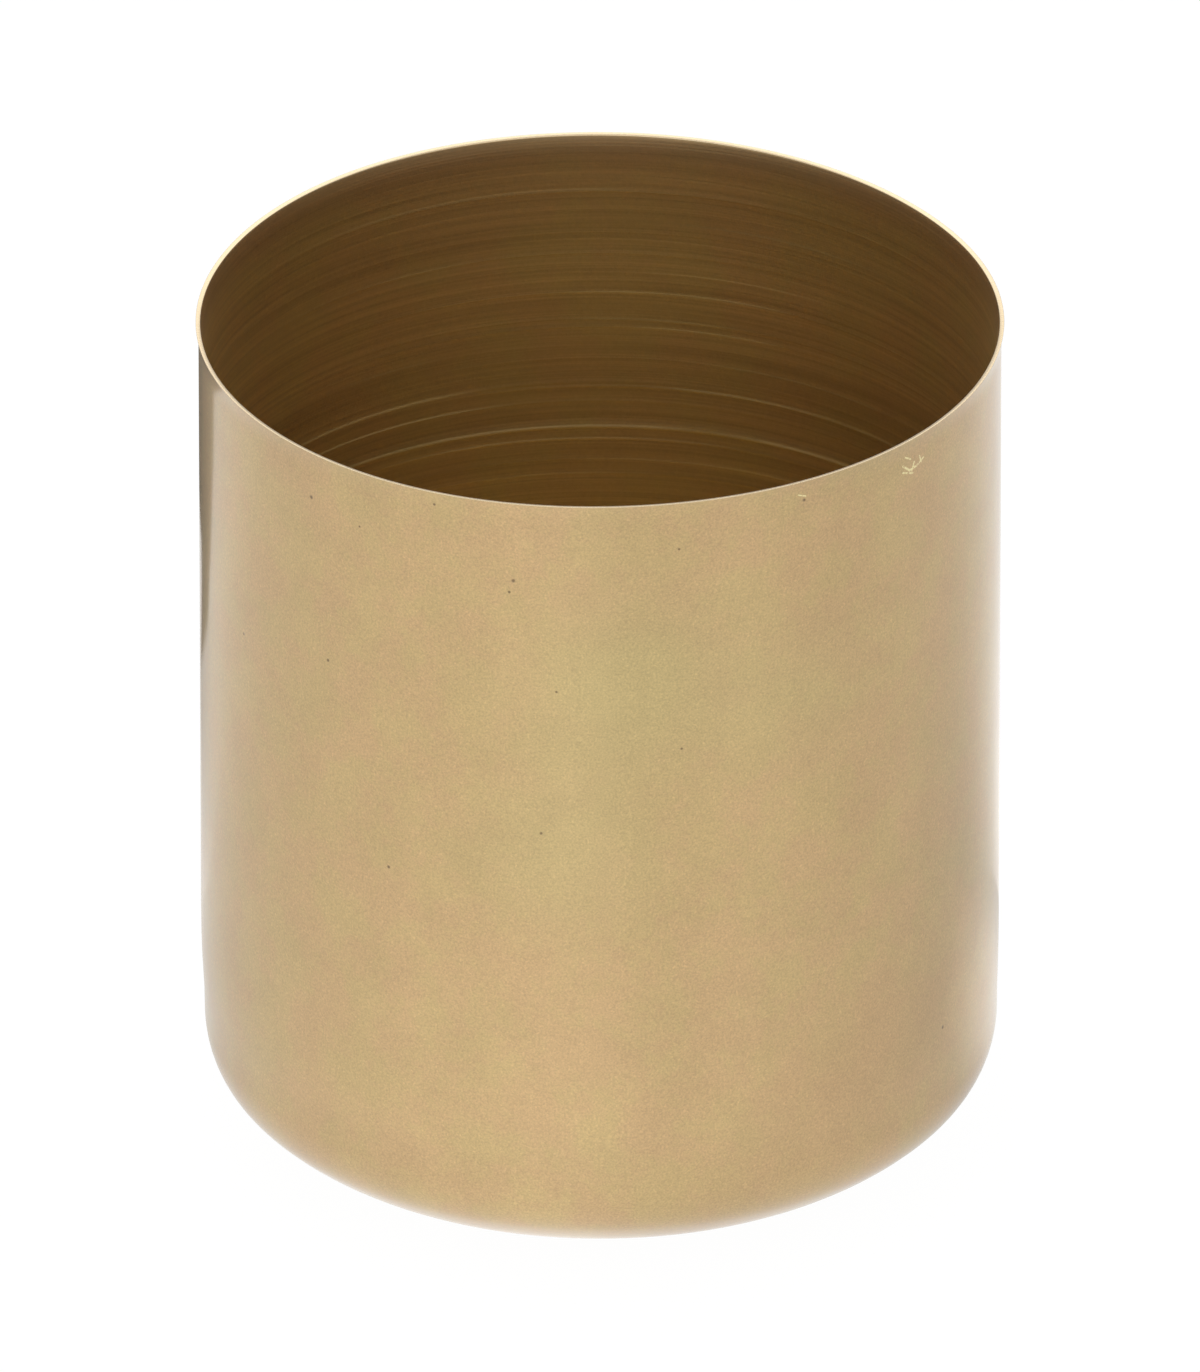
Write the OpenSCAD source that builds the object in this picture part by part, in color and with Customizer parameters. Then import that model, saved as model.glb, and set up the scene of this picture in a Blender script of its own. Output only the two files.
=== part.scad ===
// Spun brass planter pot: a straight round wall with a softly turned base corner,
// standing on four self-adhesive felt pads.
// Millimetres, +Z up. The origin is on the axis, in the plane that the pads stand on.

/* [Pot] */
// Outside diameter of the straight wall
pot_d = 140; // [116:1:260]
// Height of the brass shell, from its flat base ring to its cut rim
pot_h = 154; // [50:1:320]
// Thickness of the brass sheet
sheet_t = 0.8; // [0.5:0.1:1.6]

/* [Base corner] */
// Radius of the corner next to the wall
wall_arc_r = 15; // [6:0.5:26]
// Radius of the corner next to the flat base ring
foot_arc_r = 31; // [16:0.5:44]
// Angle that the corner turns on the wall arc before the foot arc takes over
wall_arc_turn = 45; // [15:1:75]

/* [Rim] */
// How far the cut rim leans out past the wall
rim_flare = 0.5; // [0.2:0.1:2]
// Height over which the wall leans out
rim_flare_h = 4; // [2:0.5:10]

/* [Base] */
// Height of the pushed-up middle of the base
dish_h = 1; // [0.4:0.1:3]
// Width of the slope round the pushed-up middle
dish_slope_w = 3; // [1:0.5:8]

/* [Felt pads] */
// Diameter of a felt pad
pad_d = 12; // [6:0.5:16]
// Thickness of the felt
pad_t = 1.5; // [1:0.1:4]
// Thickness of the adhesive film that holds a pad to the brass
film_t = 0.2; // [0.1:0.05:0.5]
// How far the film's edge stays inside the pad's edge
film_edge = 0.4; // [0.1:0.1:1]
// Clearance from a pad's edge to both edges of the flat base ring
pad_clear = 1; // [0.5:0.1:3]

/* [Hidden] */
PLACES = ["front", "right", "back", "left"];

$fn = 180;
overcut = 1;

wall_r = pot_d / 2;
foot_z = pad_t + film_t;

// The corner is two arcs that meet in line: a tight one off the wall, a wide one onto the base
arc_step = foot_arc_r - wall_arc_r;
corner_h = foot_arc_r - arc_step * sin(wall_arc_turn);
flat_r = wall_r - wall_arc_r - arc_step * cos(wall_arc_turn);

// The wall leans out on one arc, which starts in line with the wall
flare_z = pot_h - rim_flare_h;
flare_arc_r = (pow(rim_flare_h, 2) + pow(rim_flare, 2)) / (2 * rim_flare);

// The pads stand on the flat ring between the corner and the pushed-up middle
pad_ring_r = flat_r - pad_clear - pad_d / 2;
dish_r = pad_ring_r - pad_d / 2 - pad_clear;

// Half section of the filled pot, drawn inset inside its outer face and over above its rim
module pot_section(inset, over) {
    top = pot_h + over;
    translate([0, inset])
        square([flat_r, top - inset]);
    intersection() {
        translate([flat_r, foot_arc_r])
            circle(r = foot_arc_r - inset);
        translate([flat_r, 0])
            square([(foot_arc_r - inset) * cos(wall_arc_turn), corner_h]);
    }
    translate([wall_r - wall_arc_r, corner_h])
        circle(r = wall_arc_r - inset);
    translate([0, corner_h])
        square([wall_r - inset, top - corner_h]);
    difference() {
        translate([0, flare_z])
            square([wall_r + rim_flare + overcut, rim_flare_h + over]);
        translate([wall_r + flare_arc_r, flare_z])
            circle(r = flare_arc_r + inset);
    }
}

// Half section of the space under the pushed-up middle
module dish_section() {
    polygon([
        [0, -overcut],
        [dish_r, -overcut],
        [dish_r, 0],
        [dish_r - dish_slope_w, dish_h],
        [0, dish_h]
    ]);
}

// One sheet spun to shape: wall, corner, flat base ring and pushed-up middle
module pot_shell() {
    color([0.78, 0.66, 0.48])
        translate([0, 0, foot_z])
            rotate_extrude()
                difference() {
                    pot_section(0, 0);
                    difference() {
                        pot_section(sheet_t, overcut);
                        translate([0, sheet_t])
                            dish_section();
                    }
                    dish_section();
                }
}

// Takes a part to its place on the base ring: front, right, back or left
module at_place(index) {
    rotate([0, 0, 90 * (index - 1)])
        translate([pad_ring_r, 0, 0])
            children();
}

// Felt disc that the pot stands on
module felt_pad(index) {
    color([0.24, 0.21, 0.19])
        at_place(index)
            cylinder(d = pad_d, h = pad_t);
}

// Adhesive film between a felt disc and the brass
module pad_film(index) {
    color([0.86, 0.84, 0.78])
        at_place(index)
            translate([0, 0, pad_t])
                cylinder(d = pad_d - 2 * film_edge, h = film_t);
}

pot_shell();
for (i = [0 : len(PLACES) - 1]) {
    felt_pad(i);
    pad_film(i);
}
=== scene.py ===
import bpy
import bmesh
import math
import random
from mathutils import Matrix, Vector, noise


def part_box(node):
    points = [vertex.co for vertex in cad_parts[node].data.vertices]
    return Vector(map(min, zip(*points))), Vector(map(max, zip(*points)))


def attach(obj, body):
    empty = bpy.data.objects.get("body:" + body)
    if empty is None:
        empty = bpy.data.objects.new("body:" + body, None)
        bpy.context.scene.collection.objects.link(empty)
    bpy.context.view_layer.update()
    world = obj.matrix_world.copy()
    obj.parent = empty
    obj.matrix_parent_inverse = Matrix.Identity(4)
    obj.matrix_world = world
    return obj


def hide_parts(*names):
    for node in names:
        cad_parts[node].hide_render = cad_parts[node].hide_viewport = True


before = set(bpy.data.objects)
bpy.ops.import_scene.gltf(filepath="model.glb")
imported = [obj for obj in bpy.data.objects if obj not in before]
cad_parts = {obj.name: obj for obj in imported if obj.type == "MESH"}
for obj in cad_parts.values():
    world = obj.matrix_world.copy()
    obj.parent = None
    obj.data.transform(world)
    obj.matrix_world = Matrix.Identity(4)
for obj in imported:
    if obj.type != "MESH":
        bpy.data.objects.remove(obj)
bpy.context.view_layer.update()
shellLow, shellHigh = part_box("pot_shell")
print("frame loaded, nodes:", len(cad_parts))


# ---- shader helpers ----

class Signal:
    # an output socket that can be used in a sum
    def __init__(self, paint, socket):
        self.paint = paint
        self.socket = socket

    def sum(self, operation, first, second=0.0):
        return self.paint.add("ShaderNodeMath", {"operation": operation}, {0: first, 1: second}, 0)

    def __add__(self, other):
        return self.sum("ADD", self, other)

    def __sub__(self, other):
        return self.sum("SUBTRACT", self, other)

    def __rsub__(self, other):
        return self.sum("SUBTRACT", other, self)

    def __mul__(self, other):
        return self.sum("MULTIPLY", self, other)

    def __truediv__(self, other):
        return self.sum("DIVIDE", self, other)

    def __abs__(self):
        return self.sum("ABSOLUTE", self)

    __radd__ = __add__


class Paint:
    # one material, or the world, and the nodes in it
    def __init__(self, owner):
        owner.use_nodes = True
        self.owner = owner
        self.tree = owner.node_tree
        self.tree.nodes.clear()

    def pick(self, sockets, key):
        if isinstance(key, int):
            return sockets[key]
        return next(s for s in sockets if s.name == key and s.enabled)

    def add(self, kind, settings, sockets, result=0):
        node = self.tree.nodes.new(kind)
        for key, value in settings.items():
            setattr(node, key, value)
        for key, value in sockets.items():
            socket = self.pick(node.inputs, key)
            if isinstance(value, Signal):
                self.tree.links.new(value.socket, socket)
            else:
                socket.default_value = value
        if result is None:
            return node
        return Signal(self, self.pick(node.outputs, result))

    def curve(self, value, stops):
        # smooth through the stops, run at half height because the node cuts off at 1
        node = self.add("ShaderNodeValToRGB", {}, {0: value}, None)
        ramp = node.color_ramp
        ramp.interpolation = "CARDINAL"
        while len(ramp.elements) < len(stops):
            ramp.elements.new(1.0)
        for element, (place, grey) in zip(ramp.elements, stops):
            element.position = place
            element.color = (grey / 2, grey / 2, grey / 2, 1.0)
        return self.tint(Signal(self, node.outputs["Color"]), 2.0)

    def place(self):
        return self.add("ShaderNodeTexCoord", {}, {}, "Object")

    def apart(self, vector):
        node = self.add("ShaderNodeSeparateXYZ", {}, {0: vector}, None)
        return [Signal(self, socket) for socket in node.outputs]

    def noise(self, vector, scale, detail=2.0, rough=0.5):
        return self.add("ShaderNodeTexNoise", {}, {
            "Vector": vector, "Scale": scale, "Detail": detail, "Roughness": rough}, "Fac")

    def blend(self, factor, first, second, how="MIX"):
        return self.add("ShaderNodeMix", {"data_type": "RGBA", "blend_type": how}, {
            "Factor": factor, "A": first, "B": second}, "Result")

    def fade(self, value, low, high):
        # 0 at low, 1 at high, smooth between
        return self.add("ShaderNodeMapRange", {"interpolation_type": "SMOOTHSTEP"}, {
            "Value": value, "From Min": low, "From Max": high}, "Result")

    def span(self, value, low, high, first, last):
        return self.add("ShaderNodeMapRange", {}, {
            "Value": value, "From Min": low, "From Max": high, "To Min": first, "To Max": last}, "Result")

    def stretch(self, vector, scale):
        return self.join("MULTIPLY", vector, scale)

    def join(self, operation, first, second, result=0):
        return self.add("ShaderNodeVectorMath", {"operation": operation}, {0: first, 1: second}, result)

    def dot(self, first, second):
        return self.join("DOT_PRODUCT", first, second, "Value")

    def distance(self, vector, point):
        return self.join("DISTANCE", vector, point, "Value")

    def tint(self, colour, grey):
        # lightens or darkens a colour by a changing amount round 1
        return self.add("ShaderNodeVectorMath", {"operation": "SCALE"}, {0: colour, "Scale": grey}, 0)

    def fromAxis(self, place):
        # distance from the pot's axis
        return self.distance(self.stretch(place, (1, 1, 0)), (0, 0, 0))

    def bump(self, height, distance, strength):
        return self.add("ShaderNodeBump", {}, {
            "Strength": strength, "Distance": distance, "Height": height}, "Normal")

    def principled(self, sockets):
        return self.finish(self.add("ShaderNodeBsdfPrincipled", {}, sockets))

    def finish(self, shader, output="ShaderNodeOutputMaterial"):
        self.add(output, {}, {"Surface": shader}, None)
        return self.owner


def newPaint(name):
    return Paint(bpy.data.materials.new(name))


def newObject(bm, name, materials):
    mesh = bpy.data.meshes.new(name)
    bm.to_mesh(mesh)
    bm.free()
    for material in materials:
        mesh.materials.append(material)
    thing = bpy.data.objects.new(name, mesh)
    bpy.context.scene.collection.objects.link(thing)
    return thing


def finishPiece(bm, name, node, materials):
    piece = newObject(bm, name, materials)
    piece.data.shade_smooth()
    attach(piece, "root")
    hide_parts(node)
    return piece


# ---- camera and studio ----

studio = {
    # metres from the pot: long enough to keep the walls upright, and no longer, because the other
    # views clip at a hundred object radii
    "cameraAway": 8.5,
    "sensor": 36.0,
    "seeTo": 60.0,             # metres
    "cameraUp": 28.0,          # degrees above the floor
    "aimUp": 0.533,            # where it aims, as a share of the shell's height
    "viewTall": 0.2402,        # metres of scene that the picture's long side covers
    "floorRadius": 3.0,
    "floorDown": 0.0002,       # how far it lies under the pads
    "floorWhite": 0.9,
    "floorGlow": 0.96,         # how much of the floor's white is its own light
    "paper": 1.02,             # white that the camera sees behind the pot
    # how bright the tent is by degrees round the pot, 0 at the front and 90 on the right,
    # far from it and on the floor close to it
    "farRound": [
        (-180, 1.01), (-149, 0.99), (-136, 0.97), (-114, 0.92), (-98, 0.87), (-70, 0.94), (-26, 0.98),
        (-6, 1.05), (14, 0.87), (35, 0.96), (57, 0.86), (81, 0.86), (112, 0.80), (133, 0.93),
        (149, 0.97), (180, 1.01)],
    "nearRound": [
        (-180, 1.05), (-149, 0.95), (-136, 0.89), (-114, 0.82), (-83, 0.90), (-60, 0.99), (-47, 1.04),
        (-26, 1.08), (-6, 1.13), (14, 0.98), (35, 0.97), (57, 0.88), (81, 0.76), (112, 0.68),
        (133, 1.06), (149, 1.24), (163, 1.10), (180, 1.05)],
    "nearReach": 0.14,         # metres from the axis where the close ring starts to give way
    "farReach": 0.27,          # and where the far one has taken over
    # how bright it is by height, from the horizon at 0 to straight up at 1
    "whiteUp": [
        (0.0, 0.72), (0.16, 0.46), (0.28, 0.56), (0.45, 1.35), (0.62, 1.60), (0.75, 1.40),
        (0.9, 0.80), (1.0, 0.60)],
    "sideDim": 0.50,           # how much darker the tent is at its two sides
    # a dark card behind the pot on the left: metres to the right of the axis and behind it
    "darkCardCorners": [
        (-0.105, 0.075), (-0.086, 0.075), (-0.092, 0.160), (-0.106, 0.178), (-0.114, 0.194),
        (-0.115, 0.207), (-0.085, 0.232), (-0.05, 0.26), (-0.05, 0.31), (-0.28, 0.31),
        (-0.222, 0.227), (-0.206, 0.208), (-0.191, 0.197), (-0.176, 0.185), (-0.160, 0.175),
        (-0.150, 0.163), (-0.180, 0.158), (-0.180, 0.110)],
    "darkCardUp": 0.0005,
    "darkCardGlow": 0.09,      # its far part
    "darkCardTurns": (0.158, 0.170),    # how far behind the axis the near part turns into the far one
    "darkCardNear": (0.080, 0.145),     # between these the near part goes from pale to grey
    "darkCardNearGlow": (0.95, 0.50),
    "darkCardSide": (-0.100, -0.180),   # between these it goes pale again to the left
    "darkCardSideGlow": 0.94,
    # a light card on the right
    "lightCardAt": (0.095, 0.035, 0.0004),
    "lightCardReach": (0.010, 0.045),   # where its glow starts to fade and where it ends
    "lightCardGlow": (1.05, 0.76),
    "reflections": 10,         # how many the light may make between the bright inside walls
}


def placeCamera():
    data = bpy.data.cameras.new("camera")
    data.sensor_width = studio["sensor"]
    data.lens = data.sensor_width * studio["cameraAway"] / studio["viewTall"]
    data.clip_end = studio["seeTo"]
    camera = bpy.data.objects.new("camera", data)
    bpy.context.scene.collection.objects.link(camera)
    up = math.radians(studio["cameraUp"])
    aim = Vector((0, 0, shellLow.z + studio["aimUp"] * (shellHigh.z - shellLow.z)))
    camera.location = aim + studio["cameraAway"] * Vector((0, -math.cos(up), math.sin(up)))
    camera.rotation_euler = (aim - camera.location).to_track_quat("-Z", "Y").to_euler()
    bpy.context.scene.camera = camera


def whiteRound(paint, x, y, table):
    turn = x.sum("ARCTAN2", x, y * -1) / math.tau + 0.5
    stops = [(0.5 + at / 360, white) for at, white in studio[table]]
    return paint.curve(turn, stops)


def grey(value):
    return value, value, value, 1


def paperOrLight(paint, light):
    # the camera sees plain white, and everything else sees the graded tent
    seen = paint.add("ShaderNodeLightPath", {}, {}, "Is Camera Ray")
    return paint.blend(seen, light, grey(studio["paper"]))


def makeFloor():
    bm = bmesh.new()
    bmesh.ops.create_circle(bm, cap_ends=True, segments=96, radius=studio["floorRadius"])
    bmesh.ops.translate(bm, verts=bm.verts, vec=(0, 0, -studio["floorDown"]))
    paint = newPaint("paleFloor")
    place = paint.place()
    x, y, _ = paint.apart(place)
    away = paint.distance(place, (0, 0, 0))
    light = paint.blend(paint.fade(away, studio["nearReach"], studio["farReach"]),
                        whiteRound(paint, x, y, "nearRound"), whiteRound(paint, x, y, "farRound"))
    glow = paint.add("ShaderNodeEmission", {}, {"Color": paperOrLight(paint, light)})
    matte = paint.add("ShaderNodeBsdfDiffuse", {}, {"Color": grey(studio["floorWhite"])})
    share = paint.add("ShaderNodeMixShader", {}, {0: studio["floorGlow"], 1: matte, 2: glow})
    newObject(bm, "floor", [paint.finish(share)])


def makeCard(bm, name, paint, shade):
    # a card on the floor that shows only in the brass
    card = newObject(bm, name, [paint.finish(paint.add("ShaderNodeEmission", {}, {"Color": shade}))])
    card.visible_camera = False
    card.visible_diffuse = False
    card.visible_shadow = False


def makeDarkCard():
    bm = bmesh.new()
    bm.faces.new([bm.verts.new((x, y, studio["darkCardUp"])) for x, y in studio["darkCardCorners"]])
    paint = newPaint("darkCard")
    x, y, _ = paint.apart(paint.place())
    near = paint.span(y, *studio["darkCardNear"], *studio["darkCardNearGlow"])
    near = paint.span(x, *studio["darkCardSide"], near, studio["darkCardSideGlow"])
    turned = paint.fade(y, *studio["darkCardTurns"])
    makeCard(bm, "darkCard", paint, paint.span(turned, 0, 1, near, studio["darkCardGlow"]))


def makeLightCard():
    bm = bmesh.new()
    bmesh.ops.create_circle(bm, cap_ends=True, segments=48, radius=studio["lightCardReach"][1])
    bmesh.ops.translate(bm, verts=bm.verts, vec=studio["lightCardAt"])
    paint = newPaint("lightCard")
    off = paint.fade(paint.distance(paint.place(), studio["lightCardAt"]), *studio["lightCardReach"])
    makeCard(bm, "lightCard", paint, paint.span(off, 0, 1, *studio["lightCardGlow"]))


def makeWorld():
    world = bpy.data.worlds.new("studio")
    bpy.context.scene.world = world
    paint = Paint(world)
    way = paint.add("ShaderNodeTexCoord", {}, {}, "Generated")
    x, y, z = paint.apart(way)
    up = paint.tint(paint.curve(z, studio["whiteUp"]), 1 - x * x * studio["sideDim"])
    light = paint.blend(1.0, whiteRound(paint, x, y, "farRound"), up, "MULTIPLY")
    glow = paint.add("ShaderNodeBackground", {}, {"Color": paperOrLight(paint, light)})
    paint.finish(glow, "ShaderNodeOutputWorld")
    bpy.context.scene.view_settings.view_transform = "Standard"
    bpy.context.scene.cycles.glossy_bounces = studio["reflections"]


placeCamera()
makeFloor()
makeDarkCard()
makeLightCard()
makeWorld()
print("camera and studio ready")


# ---- pot shell ----

pot = {
    "turns": 240,              # steps round the axis
    "sheet": 0.0008,
    "seam": 0.0005,            # gap left between the straight inner wall's first and last rings and the arcs
    "wallArc": 0.015,          # radius of the base corner next to the wall
    "footArc": 0.031,          # and next to the base
    "wallArcTurn": 45.0,       # degrees of the first
    "flare": 0.0005,           # how far the rim leans out
    "flareTall": 0.004,
    "dishTall": 0.001,
    "dishSlope": 0.003,
    "baseRing": 0.014,         # width of the flat ring that the pads stand on
    "markRadius": 0.0015,      # spinner's centre mark underneath
    "markDeep": 0.0003,
    "rimLean": 0.00014,        # how much higher the cut rim's outer edge is
    "rimRound": 0.00010,
    # spun ridges inside: depth below the rim, how far they stand out, width of their upper side,
    # where they are strongest in degrees, and how much of them is gone a quarter turn from there
    "ridges": [
        (0.0103, 0.00003, 0.0003, 160, 0.6), (0.0183, 0.00003, 0.0003, 90, 0.7),
        (0.0225, 0.00003, 0.0003, 200, 0.8), (0.0302, 0.00004, 0.0003, 165, 0.8),
        (0.0355, 0.00003, 0.0003, 150, 0.7), (0.0371, 0.00003, 0.0003, 175, 0.7),
        (0.0433, 0.00003, 0.0003, 120, 0.8), (0.0481, 0.00006, 0.0005, 225, 0.9),
        (0.0489, 0.00006, 0.0004, 145, 0.9), (0.0518, 0.00005, 0.0003, 220, 0.9),
        (0.0567, 0.00015, 0.0009, 180, 0.3), (0.0593, 0.00004, 0.0003, 190, 0.5),
        (0.0633, 0.00003, 0.0003, 170, 0.6), (0.0661, 0.00004, 0.0004, 200, 0.5),
        (0.0783, 0.00006, 0.0005, 20, 0.5), (0.0978, 0.00005, 0.0005, 300, 0.5),
        (0.1153, 0.00010, 0.0008, 60, 0.3),
    ],
    "ridgeUnder": 0.4,         # width of their lower side as a share of the upper
    # waves in the rim's height: how many to a turn, their height, and the degrees where they crest
    "rimWave": [
        (0, 0.000486, 0.0), (1, 0.00017, -168.0), (2, 0.00031, 25.0), (3, 0.00004, 60.0),
        (5, 0.00006, 10.0)],
    "rimWaveDeep": 0.012,      # how far down the wall the waves reach
    "cornerSoft": (0.00042, 0.00016),   # how far the wall eases in above the base corner, more on the left
    "cornerSoftAt": (0.0205, 0.0085),   # height of that and how far up and down it reaches
    "oval": 0.00003,
    "ovalAt": 90.0,            # degrees
    "dent": 0.00004,
    "dentScale": 22,
    "dentLong": 0.6,           # how much the dents are drawn out upwards
}


def strokeTo(bm, end, x, z):
    point = bmesh.ops.extrude_vert_indiv(bm, verts=[end])["verts"][0]
    point.co = (x, 0, z)
    return point


def strokeArc(bm, end, x, z, turn, steps):
    # positive turns anticlockwise, seen with x to the right and z up
    arc = bmesh.ops.spin(bm, geom=[end], cent=(x, 0, z), axis=(0, -1, 0),
                         angle=math.radians(turn), steps=steps, use_duplicate=False)
    return next(v for v in arc["geom_last"] if isinstance(v, bmesh.types.BMVert))


def strokeLine(bm, end, x, z, steps, rise=lambda t: t):
    x0, z0 = end.co.x, end.co.z
    for step in range(1, steps + 1):
        t = step / steps
        end = strokeTo(bm, end, x0 + (x - x0) * t, z0 + (z - z0) * rise(t))
    return end


def smooth(t):
    return t * t * (3 - 2 * t)


def strokeSlope(bm, end, x, z, steps):
    # soft S from where the stroke is to the given point
    return strokeLine(bm, end, x, z, steps, smooth)


def ridgeAt(depth, angle):
    stand = 0.0
    for at, tall, wide, turn, gone in pot["ridges"]:
        side = wide if depth < at else wide * pot["ridgeUnder"]
        kept = 1 - gone * math.sin(angle - math.radians(turn)) ** 2
        stand += tall * kept * math.exp(-((depth - at) / side) ** 2)
    return stand


def ridgeDepths(first, last):
    # even rings down the wall, and closer ones over each ridge
    depths = {first + (last - first) * i / 70 for i in range(71)}
    for at, _, wide, _, _ in pot["ridges"]:
        depths |= {at - wide * 0.45 * i for i in range(5)}
        depths |= {at + wide * pot["ridgeUnder"] * 0.5 * i for i in range(5)}
    return sorted(d for d in depths if first <= d <= last)


def drawShellOutline(bm):
    wall = shellHigh.x - pot["flare"]
    low, high = shellLow.z, shellHigh.z
    turn = math.radians(pot["wallArcTurn"])
    step = pot["footArc"] - pot["wallArc"]
    cornerTall = pot["footArc"] - step * math.sin(turn)
    flat = wall - pot["wallArc"] - step * math.cos(turn)
    dish = flat - pot["baseRing"]
    flareArc = (pot["flareTall"] ** 2 + pot["flare"] ** 2) / (2 * pot["flare"])
    flareTurn = math.degrees(math.asin(pot["flareTall"] / flareArc))
    t = pot["sheet"]

    end = bm.verts.new((0, 0, low + pot["dishTall"] + pot["markDeep"]))
    end = strokeTo(bm, end, pot["markRadius"], low + pot["dishTall"])
    end = strokeLine(bm, end, dish - pot["dishSlope"], low + pot["dishTall"], 8)
    end = strokeSlope(bm, end, dish, low, 6)
    end = strokeLine(bm, end, flat, low, 6)
    end = strokeArc(bm, end, flat, low + pot["footArc"], 90 - pot["wallArcTurn"], 12)
    end = strokeArc(bm, end, wall - pot["wallArc"], low + cornerTall, pot["wallArcTurn"], 10)
    end = strokeLine(bm, end, wall, high - pot["flareTall"], 36)
    end = strokeArc(bm, end, wall + flareArc, high - pot["flareTall"], -flareTurn, 8)
    # over the cut rim and down inside, where the same arcs are one sheet closer
    inside = flareArc + t
    innerTurn = math.degrees(math.asin(pot["flareTall"] / inside))
    innerRim = wall + flareArc - inside * math.cos(math.radians(innerTurn))
    inner = strokeTo(bm, end, innerRim, high)
    end = strokeArc(bm, inner, wall + flareArc, high - pot["flareTall"], innerTurn, 8)
    inner.co.z -= pot["rimLean"]
    for depth in ridgeDepths(pot["flareTall"] + pot["seam"], high - low - cornerTall - pot["seam"]):
        end = strokeTo(bm, end, wall - t, high - depth)
    end = strokeTo(bm, end, wall - t, low + cornerTall)
    end = strokeArc(bm, end, wall - pot["wallArc"], low + cornerTall, -pot["wallArcTurn"], 10)
    end = strokeArc(bm, end, flat, low + pot["footArc"], pot["wallArcTurn"] - 90, 12)
    end = strokeLine(bm, end, dish, low + t, 6)
    end = strokeSlope(bm, end, dish - pot["dishSlope"], low + t + pot["dishTall"], 6)
    strokeLine(bm, end, 0, low + t + pot["dishTall"], 8)


def roundEdges(bm, edges, radius, steps):
    bmesh.ops.bevel(bm, geom=edges, offset=radius, offset_type="OFFSET", segments=steps,
                    profile=0.5, affect="EDGES", material=-1)


def roundRim(bm):
    ring = [v for v in bm.verts if v.co.z > shellHigh.z - 2 * pot["rimLean"]]
    edges = [e for e in bm.edges if e.verts[0] in ring and e.verts[1] in ring
             and abs(e.verts[0].co.xy.length - e.verts[1].co.xy.length) < 1e-6]
    roundEdges(bm, edges, pot["rimRound"], 3)
    bm.normal_update()


def isInside(face):
    # inner faces look at the axis or up
    middle = face.calc_center_median()
    outward = Vector((middle.x, middle.y, 0)).normalized()
    return face.normal.dot(outward) < face.normal.z


def settle(bm):
    # nothing spun by hand is quite round or level, and the tool leaves ridges inside
    innerWall = shellHigh.x - pot["flare"] - pot["sheet"]
    for vert in bm.verts:
        angle = math.atan2(vert.co.x, -vert.co.y)
        if abs(vert.co.xy.length - innerWall) < 1e-5:
            vert.co.xy *= 1 - ridgeAt(shellHigh.z - vert.co.z, angle) / innerWall
        near = max(0.0, 1 - (shellHigh.z - vert.co.z) / pot["rimWaveDeep"])
        wave = sum(tall * math.cos(count * angle - count * math.radians(at))
                   for count, tall, at in pot["rimWave"])
        vert.co.z += smooth(near) * wave
        up = (vert.co.z - shellLow.z) / (shellHigh.z - shellLow.z)
        around = Vector((vert.co.x, vert.co.y, vert.co.z * pot["dentLong"])) * pot["dentScale"]
        oval = pot["oval"] * math.cos(2 * angle - 2 * math.radians(pot["ovalAt"]))
        swell = (oval + pot["dent"] * noise.noise(around)) * up
        soft, uneven = pot["cornerSoft"]
        at, spread = pot["cornerSoftAt"]
        ease = math.exp(-((vert.co.z - shellLow.z - at) / spread) ** 2)
        swell -= (soft - uneven * math.sin(angle)) * ease
        reach = vert.co.xy.length
        if reach > pot["sheet"]:
            vert.co.xy *= 1 + swell * min(1.0, reach / shellHigh.x) / reach


def makeShell():
    bm = bmesh.new()
    drawShellOutline(bm)
    bmesh.ops.spin(bm, geom=bm.verts[:] + bm.edges[:], cent=(0, 0, 0), axis=(0, 0, 1),
                   angle=math.tau, steps=pot["turns"], use_merge=True)
    bmesh.ops.remove_doubles(bm, verts=bm.verts, dist=1e-7)
    bmesh.ops.recalc_face_normals(bm, faces=bm.faces)
    roundRim(bm)
    for face in bm.faces:
        middle = face.calc_center_median()
        if middle.z > shellHigh.z - pot["rimLean"] - pot["rimRound"]:
            face.material_index = 2
        elif isInside(face):
            face.material_index = 1
    settle(bm)
    return bm


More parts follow.
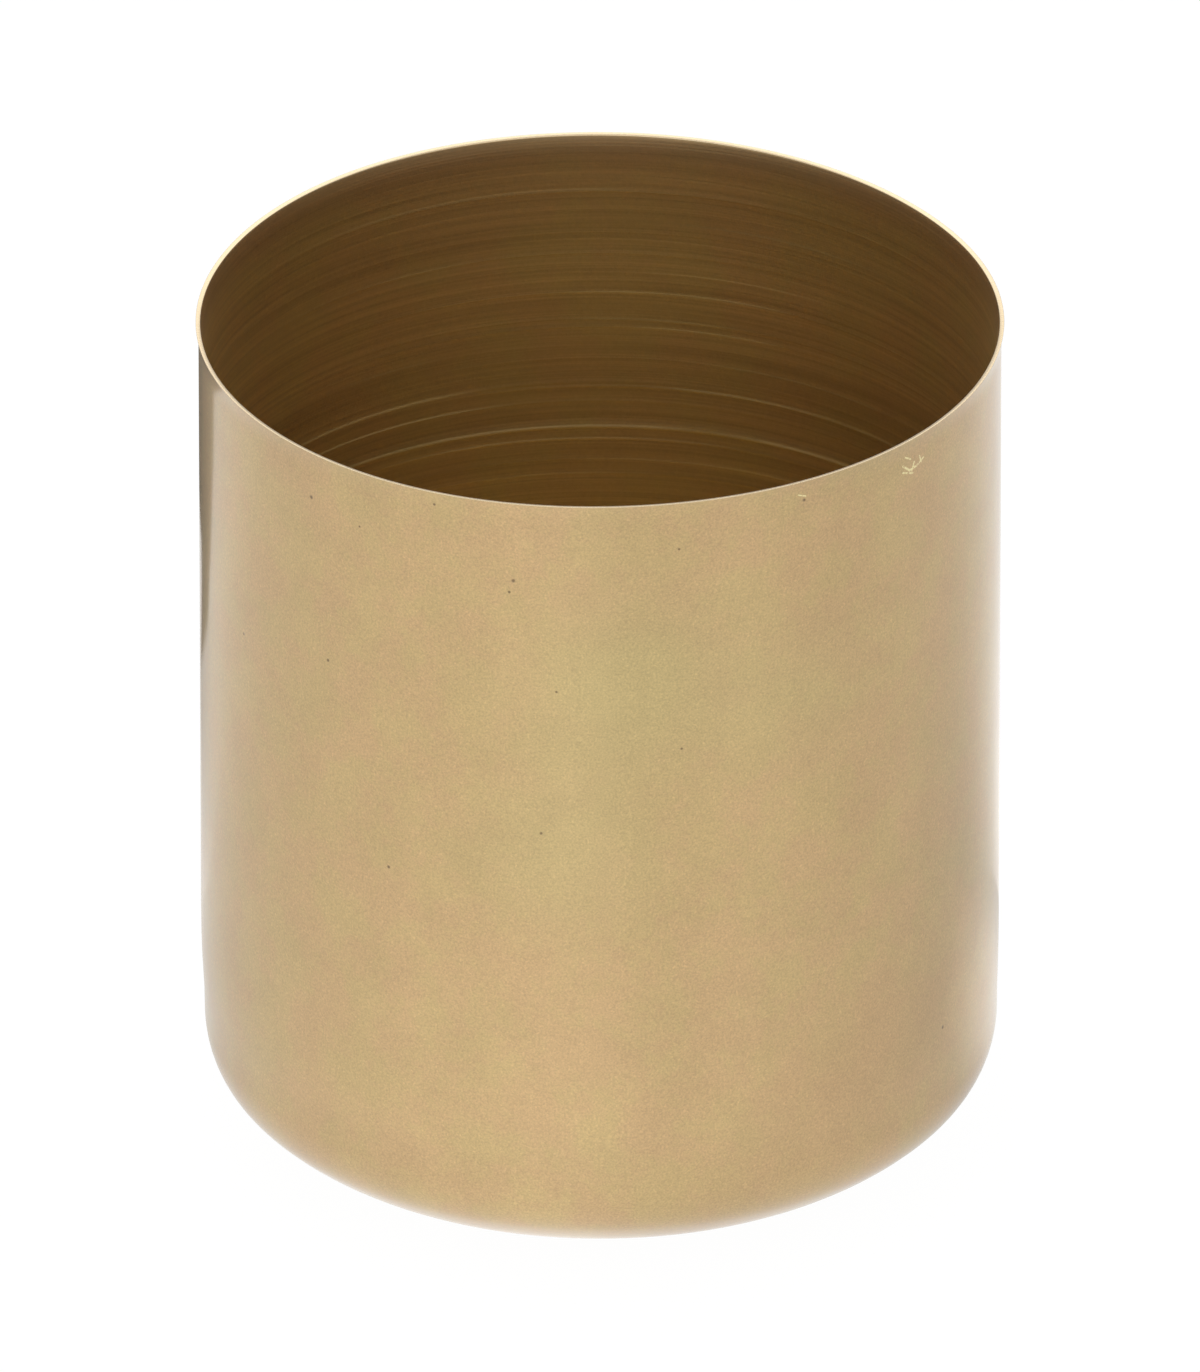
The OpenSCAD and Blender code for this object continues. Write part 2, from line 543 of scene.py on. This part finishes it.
brass = {
    "olive": (0.580, 0.418, 0.189, 1),
    "rose": (0.597, 0.403, 0.197, 1),
    "spunOlive": (0.725, 0.560, 0.240, 1),
    "spunRose": (0.745, 0.540, 0.245, 1),
    "cutPale": (0.80, 0.66, 0.46, 1),
    "cutDeep": (0.76, 0.59, 0.36, 1),
    # soft stains outside: degrees, height, reach and strength
    "oliveStain": (0.566, 0.433, 0.192, 1),
    "oliveStains": [
        (0.0, 0.118, 0.030, 0.8), (-5.0, 0.088, 0.026, 0.8), (11.0, 0.124, 0.028, 0.5),
        (30.0, 0.114, 0.022, 0.6), (-120.0, 0.100, 0.035, 0.7), (150.0, 0.060, 0.030, 0.6)],
    "roseStain": (0.555, 0.368, 0.180, 1),
    "roseStains": [
        (38.0, 0.034, 0.026, 0.8), (56.0, 0.042, 0.024, 0.5), (24.0, 0.016, 0.022, 0.4),
        (100.0, 0.080, 0.035, 0.6), (-160.0, 0.040, 0.030, 0.7)],
    # small dark pits outside: degrees from the front to the right, height above the floor, radius
    "pit": (0.12, 0.08, 0.04, 1),
    "pitShare": 0.75,          # how much of the brass they cover
    "pits": [
        (-12.4, 0.1408, 0.00050), (-13.0, 0.1385, 0.00040), (-6.2, 0.1196, 0.00035),
        (11.7, 0.1079, 0.00035), (-8.4, 0.0916, 0.00040), (-45.7, 0.1469, 0.00055),
        (11.3, 0.1471, 0.00035), (30.4, 0.1524, 0.00045), (-42.5, 0.1163, 0.00045),
        (-31.7, 0.0798, 0.00045), (58.9, 0.0354, 0.00050), (-62.4, 0.1113, 0.00040),
        (128.0, 0.0930, 0.00045), (-150.0, 0.0610, 0.00040), (172.0, 0.1240, 0.00045),
        (97.0, 0.0480, 0.00040), (-108.0, 0.1350, 0.00035), (-24.2, 0.1534, 0.00040),
        (-36.6, 0.1450, 0.00030)],
    # bright scratches outside: where each end is, as above, and their half width
    "scratch": (0.90, 0.78, 0.40, 1),
    "scratches": [
        (50.0, 0.1500, 51.8, 0.1502, 0.00030), (51.8, 0.1502, 53.3, 0.1510, 0.00026),
        (52.4, 0.1518, 52.9, 0.1503, 0.00022), (51.2, 0.1512, 50.5, 0.1493, 0.00026),
        (48.7, 0.1515, 50.1, 0.1501, 0.00026), (48.7, 0.1502, 50.9, 0.1492, 0.00024),
        (49.2, 0.1530, 50.4, 0.1521, 0.00020), (30.6, 0.1531, 29.4, 0.1537, 0.00018),
        (-58.6, 0.0234, -57.4, 0.0246, 0.00016), (148.6, 0.0810, 147.4, 0.0832, 0.00018)],
    "rimBrown": (0.74, 0.49, 0.25, 1),
    "dullRim": 0.008,          # how far down the inside is browner and darker below the rim
    # painted highlights: pale arcs along the spun rings inside, standing in for the light the rings reflect:
    # depth below the rim, half width, how strong, where in degrees and how far round
    "paintedRingHighlights": [
        (0.0098, 0.0003, 0.3, 200, 30), (0.0161, 0.0003, 0.3, 150, 24), (0.0225, 0.0003, 0.4, 192, 26),
        (0.0261, 0.0003, 0.3, 160, 20), (0.0302, 0.0004, 0.45, 168, 20), (0.0355, 0.0003, 0.4, 172, 16),
        (0.0371, 0.0003, 0.4, 164, 14), (0.0405, 0.0003, 0.3, 205, 22), (0.0433, 0.0003, 0.3, 150, 20),
        (0.0481, 0.0004, 0.8, 216, 26), (0.0488, 0.0004, 0.7, 150, 26), (0.0517, 0.0003, 0.7, 212, 24),
        (0.0567, 0.0005, 1.0, 180, 70), (0.0591, 0.0003, 0.4, 186, 30), (0.0633, 0.0003, 0.3, 160, 26),
        (0.0661, 0.0003, 0.3, 196, 30), (0.0703, 0.0003, 0.3, 20, 40), (0.0923, 0.0004, 0.4, 300, 40)],
    # the pale colour of those painted ring highlights
    "ringHighlightPale": (1.0, 0.88, 0.52, 1),
    "ringHighlightShare": 0.42,           # how much of that colour they take
    # heights outside, from and to: the foot darkened by painted shade, the duller top and the turned
    # underside
    "shadedFoot": (0.034, 0.006),
    "footShadeTint": 0.10,
    "highTop": (-0.012, 0.0),
    "highTint": 0.03,
    "underFoot": (0.004, 0.0015),
    # depths inside between which painted shade darkens the colour
    "deepFrom": 0.028,
    "deepTo": 0.052,
    "deepShadeTint": 0.19,
    "rimTint": 0.26,
    "satinRough": 0.38,
    "spunRough": 0.42,
    "cutRough": 0.22,
    "coat": {"Coat Weight": 0.8, "Coat IOR": 1.5},
    "satinCoatRough": 0.12,
    "spunCoatRough": 0.45,
    "texture": 0.00006,        # height of the fine surface texture
}


def onWall(turn, height):
    angle = math.radians(turn)
    wall = shellHigh.x - pot["flare"]
    return wall * math.sin(angle), -wall * math.cos(angle), height


def stainMask(paint, place, stains):
    mask = 0.0
    for turn, height, reach, strong in stains:
        near = paint.distance(place, onWall(turn, height))
        mask = mask + (1 - paint.fade(near, 0, reach)) * strong
    return mask


def pitMask(paint, place):
    mask = 0.0
    for turn, height, radius in brass["pits"]:
        near = paint.distance(place, onWall(turn, height))
        mask = mask + (1 - paint.fade(near, radius * 0.25, radius))
    return mask


def scratchMask(paint, place):
    mask = 0.0
    for turn, height, lastTurn, lastHeight, wide in brass["scratches"]:
        start = Vector(onWall(turn, height))
        run = Vector(onWall(lastTurn, lastHeight)) - start
        here = paint.join("SUBTRACT", place, start)
        share = paint.add("ShaderNodeClamp", {}, {
            "Value": paint.dot(here, run / run.length_squared)}, 0)
        off = paint.distance(here, paint.tint(run, share))
        mask = mask + (1 - paint.fade(off, wide * 0.4, wide))
    return mask


def heightFade(paint, z, base, heights):
    first, last = heights
    return paint.fade(z, base + first, base + last)


def satinBrass():
    paint = newPaint("satinBrass")
    place = paint.place()
    _, _, z = paint.apart(place)
    patches = paint.fade(paint.noise(place, 95, 5, 0.72), 0.38, 0.62)
    colour = paint.blend(patches, brass["olive"], brass["rose"])
    colour = paint.blend(stainMask(paint, place, brass["oliveStains"]), colour, brass["oliveStain"])
    colour = paint.blend(stainMask(paint, place, brass["roseStains"]), colour, brass["roseStain"])
    clouds = paint.span(paint.noise(place, 80, 5, 0.75), 0.3, 0.7, 0.95, 1.05)
    # painted reflection: faint upright streaks in the colour, standing in for reflected bands of the tent
    paintedReflectionStreaks = paint.span(paint.noise(paint.stretch(place, (75, 75, 5)), 1.0, 2), 0.3, 0.7, 0.985, 1.015)
    speckle = paint.noise(place, 2700, 2, 0.65)
    # painted highlights: bright dots lightened in the colour; grain carries the speckle together with these
    # painted glints
    glints = paint.fade(paint.noise(place, 2200, 0), 0.66, 0.78)
    grain = paint.span(speckle, 0.3, 0.7, 0.86, 1.14) + glints * 0.10
    # painted shade: the foot is darkened towards the floor; the top is also a little darker
    low = heightFade(paint, z, shellLow.z, brass["shadedFoot"])
    high = heightFade(paint, z, shellHigh.z, brass["highTop"])
    footShadeAndTopTint = 1 - low * brass["footShadeTint"] - high * brass["highTint"]
    colour = paint.tint(colour, clouds * paintedReflectionStreaks * grain * footShadeAndTopTint)
    under = heightFade(paint, z, shellLow.z, brass["underFoot"])
    rings = paint.add("ShaderNodeTexNoise", {"noise_dimensions": "1D"}, {
        "W": paint.fromAxis(place), "Scale": 1500.0, "Detail": 3.0}, "Fac")
    colour = paint.tint(colour, 1 + under * (rings - 0.55) * 0.6)
    pits = pitMask(paint, place)
    colour = paint.blend(pits * brass["pitShare"], colour, brass["pit"])
    scratches = scratchMask(paint, place)
    ragged = paint.fade(paint.noise(place, 1800, 2), 0.32, 0.50)
    colour = paint.blend(scratches * ragged, colour, brass["scratch"])
    height = speckle + under * rings * 0.6 - pits * 2.5
    return paint.principled({
        "Base Color": colour, "Metallic": 1.0,
        "Roughness": brass["satinRough"] + (patches - 0.5) * 0.03 + (speckle - 0.5) * 0.2 - scratches * 0.1,
        "Normal": paint.bump(height, brass["texture"], 0.30),
        "Coat Roughness": brass["satinCoatRough"], **brass["coat"]})


def spunBrass():
    paint = newPaint("spunBrass")
    place = paint.place()
    x, y, z = paint.apart(place)
    reach = paint.fromAxis(place)
    ring = z + reach
    patches = paint.fade(paint.noise(place, 70, 2, 0.55), 0.38, 0.62)
    colour = paint.blend(patches, brass["spunOlive"], brass["spunRose"])
    # the inside turns browner and darker towards the rim
    belowRim = heightFade(paint, z, shellHigh.z, (-brass["dullRim"], 0.0))
    colour = paint.blend(belowRim * 0.7, colour, brass["rimBrown"])

    def lines(fine, long, detail):
        # noise drawn out round the pot, fine from ring to ring
        drawn = paint.add("ShaderNodeCombineXYZ", {}, {0: x * long, 1: y * long, 2: ring * fine}, 0)
        return paint.noise(drawn, 1.0, detail)

    fine = lines(2600, 16, 3)
    middling = lines(1000, 14, 2)
    broad = lines(420, 10, 3)
    grain = paint.noise(place, 1800, 1)
    shade = 1 + (fine - 0.5) * 0.4 + (middling - 0.5) * 0.45
    shade = shade + (broad - 0.5) * 0.25 + (grain - 0.5) * 0.16
    # painted highlights: the spun rings are lightened in the colour where they would catch the light
    paintedRingHighlights = 0.0
    for depth, wide, strong, turn, round in brass["paintedRingHighlights"]:
        off = abs(z - (shellHigh.z - depth))
        angle, far = math.radians(turn), math.radians(round)
        facing = (x * math.sin(angle) - y * math.cos(angle)) / reach
        here = paint.fade(facing, math.cos(far), math.cos(far * 0.3))
        paintedRingHighlights = paintedRingHighlights + (1 - paint.fade(off, wide * 0.2, wide)) * here * strong
    paintedRingHighlights = paintedRingHighlights * paint.fade(lines(150, 22, 1), 0.25, 0.55)
    # painted shade: the inside darkens with depth, where less light reaches
    deepShade = heightFade(paint, z, shellHigh.z, (-brass["deepFrom"], -brass["deepTo"]))
    colour = paint.tint(colour, shade * (1 - belowRim * brass["rimTint"] - deepShade * brass["deepShadeTint"]))
    colour = paint.blend(paintedRingHighlights * brass["ringHighlightShare"], colour, brass["ringHighlightPale"])
    return paint.principled({
        "Base Color": colour, "Metallic": 1.0,
        "Roughness": brass["spunRough"] + (broad - 0.5) * 0.06 + paintedRingHighlights * 0.2,
        "Normal": paint.bump(fine * 0.9 + broad * 0.6 + paintedRingHighlights * 0.3, brass["texture"], 0.6),
        "Coat Roughness": brass["spunCoatRough"], **brass["coat"]})


def cutBrass():
    paint = newPaint("cutBrass")
    grain = paint.noise(paint.place(), 2500, 2)
    return paint.principled({
        "Base Color": paint.blend(grain, brass["cutPale"], brass["cutDeep"]), "Metallic": 1.0,
        "Roughness": brass["cutRough"] + (grain - 0.5) * 0.1,
        "Normal": paint.bump(grain, 0.00004, 0.4)})


finishes = [satinBrass(), spunBrass(), cutBrass()]
shell = finishPiece(makeShell(), "potShell", "pot_shell", finishes)
print("pot shell ready, faces:", len(shell.data.polygons))


# ---- felt pads and their films ----

pad = {
    "turns": 96,
    "edgeRound": 0.00035,
    "shrink": 0.00035,         # how far the felt stays inside its stated edge before it is roughened
    "tufts": 0.00018,          # how far the felt's surface wanders
    "fibres": 300,
    "fibreLong": (0.0004, 0.0011),
    "fibreThick": 0.00003,
    "fibreInset": 0.0003,      # how far the fibres' roots stay from the felt's two flat sides
    "fibreRoot": 0.0004,       # how deep they start
    "feltDark": (0.030, 0.024, 0.020, 1),
    "feltPale": (0.085, 0.070, 0.058, 1),
    "filmShrink": 0.00005,
    "filmWander": 0.00012,     # how uneven its cut edge is
    "filmDark": (0.62, 0.59, 0.50, 1),
    "filmPale": (0.78, 0.75, 0.66, 1),
    "seed": 7,
}


def middleOf(node):
    low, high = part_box(node)
    return (low + high) / 2, (high.x - low.x) / 2, low.z, high.z


def makeDisc(middle, radius, low, high, rings, rounded):
    bm = bmesh.new()
    bmesh.ops.create_circle(bm, cap_ends=True, segments=pad["turns"], radius=radius)
    bmesh.ops.translate(bm, verts=bm.verts, vec=(middle.x, middle.y, low))
    bottom = bm.faces[:]
    sides = bmesh.ops.extrude_face_region(bm, geom=bottom, use_keep_orig=True)
    raised = [v for v in sides["geom"] if isinstance(v, bmesh.types.BMVert)]
    bmesh.ops.translate(bm, verts=raised, vec=(0, 0, high - low))
    bmesh.ops.recalc_face_normals(bm, faces=bm.faces)
    edges = [e for e in bm.edges if abs(e.verts[0].co.z - e.verts[1].co.z) < 1e-7]
    roundEdges(bm, edges, rounded, 4)
    flats = [f for f in bm.faces if len(f.verts) == pad["turns"]]
    for ring in range(rings):
        bmesh.ops.inset_region(bm, faces=flats, thickness=radius * 0.9 / (rings + 1), depth=0)
    bm.normal_update()
    return bm


def makeFibres(middle, radius, low, high, rng):
    bm = bmesh.new()
    for _ in range(pad["fibres"]):
        angle = rng.uniform(0, math.tau)
        long = rng.uniform(*pad["fibreLong"])
        height = rng.uniform(low + pad["fibreInset"], high - pad["fibreInset"])
        way = Vector((math.cos(angle), math.sin(angle), rng.uniform(-0.5, 0.5))).normalized()
        side = Vector((-math.sin(angle), math.cos(angle), rng.uniform(-1, 1)))
        root = Vector((middle.x, middle.y, 0)) + Vector((math.cos(angle), math.sin(angle), 0)) * radius
        root.z = height
        bend = side * rng.uniform(-0.6, 0.6) * long
        strand = bmesh.ops.create_circle(bm, cap_ends=False, segments=3, radius=pad["fibreThick"])["verts"]
        turn = way.to_track_quat("Z", "Y").to_matrix()
        bmesh.ops.rotate(bm, verts=strand, cent=(0, 0, 0), matrix=turn)
        bmesh.ops.translate(bm, verts=strand, vec=root - way * pad["fibreRoot"])
        loop = list({e for v in strand for e in v.link_edges})
        for part in (0.4, 0.8, 1.0):
            grown = bmesh.ops.extrude_edge_only(bm, edges=loop)["geom"]
            tip = [v for v in grown if isinstance(v, bmesh.types.BMVert)]
            loop = [e for e in grown if isinstance(e, bmesh.types.BMEdge)
                    and all(v in tip for v in e.verts)]
            spot = root + way * long * part + bend * part * part
            spot.z = min(max(spot.z, low + 0.0001), high - 0.0001)
            centre = sum((v.co for v in tip), Vector()) / len(tip)
            for v in tip:
                v.co = spot + (v.co - centre) * 0.75
        bmesh.ops.contextual_create(bm, geom=loop)
    return bm


def join(bm, other):
    carried = bpy.data.meshes.new("carried")
    other.to_mesh(carried)
    other.free()
    bm.from_mesh(carried)
    bpy.data.meshes.remove(carried)


def makeFelt(node, rng):
    middle, radius, low, high = middleOf(node)
    radius -= pad["shrink"]
    bm = makeDisc(middle, radius, low, high, 14, pad["edgeRound"])
    for vert in bm.verts:
        out = Vector((vert.co.x - middle.x, vert.co.y - middle.y, 0))
        edge = out.length / radius
        lump = noise.noise(vert.co * 900) * 0.6 + noise.noise(vert.co * 2600) * 0.4
        if edge > 0.85:
            vert.co += out.normalized() * lump * pad["tufts"]
        inward = 1 if vert.co.z < (low + high) / 2 else -1
        vert.co.z += inward * abs(lump) * pad["tufts"] * 0.6
    join(bm, makeFibres(middle, radius, low, high, rng))
    return bm


def feltPaint():
    paint = newPaint("pressedFelt")
    place = paint.place()
    fibres = paint.noise(paint.stretch(place, (1, 1, 1.6)), 2600, 4, 0.65)
    clumps = paint.noise(place, 420, 3, 0.6)
    colour = paint.blend(paint.fade(fibres, 0.35, 0.65), pad["feltDark"], pad["feltPale"])
    return paint.principled({
        "Base Color": paint.tint(colour, paint.span(clumps, 0.3, 0.7, 0.75, 1.3)),
        "Roughness": 0.9 + (clumps - 0.5) * 0.15,
        "Normal": paint.bump(fibres + clumps * 0.5, 0.00025, 0.8),
        "Sheen Weight": 0.35, "Sheen Roughness": 0.5})


def makeFilm(node):
    middle, radius, low, high = middleOf(node)
    bm = makeDisc(middle, radius - pad["filmShrink"], low, high, 4, (high - low) * 0.3)
    for vert in bm.verts:
        out = Vector((vert.co.x - middle.x, vert.co.y - middle.y, 0))
        if out.length > radius * 0.8:
            vert.co += out.normalized() * noise.noise(vert.co * 700) * pad["filmWander"]
    return bm


def filmPaint():
    paint = newPaint("adhesiveFilm")
    place = paint.place()
    streaks = paint.noise(paint.stretch(place, (1, 0.25, 1)), 1600, 3)
    bubbles = paint.noise(place, 900, 2)
    colour = paint.blend(streaks, pad["filmDark"], pad["filmPale"])
    return paint.principled({
        "Base Color": paint.tint(colour, paint.span(bubbles, 0.3, 0.7, 0.9, 1.05)),
        "Roughness": 0.35 + (bubbles - 0.5) * 0.3,
        "Normal": paint.bump(streaks + bubbles * 0.5, 0.00004, 0.4)})


rng = random.Random(pad["seed"])
pressedFelt = feltPaint()
adhesiveFilm = filmPaint()
for side in ("Front", "Right", "Back", "Left"):
    felt = "felt_pad_" + side.lower()
    film = "pad_film_" + side.lower()
    finishPiece(makeFelt(felt, rng), "feltPad" + side, felt, [pressedFelt])
    finishPiece(makeFilm(film), "padFilm" + side, film, [adhesiveFilm])
print("felt pads and films ready")
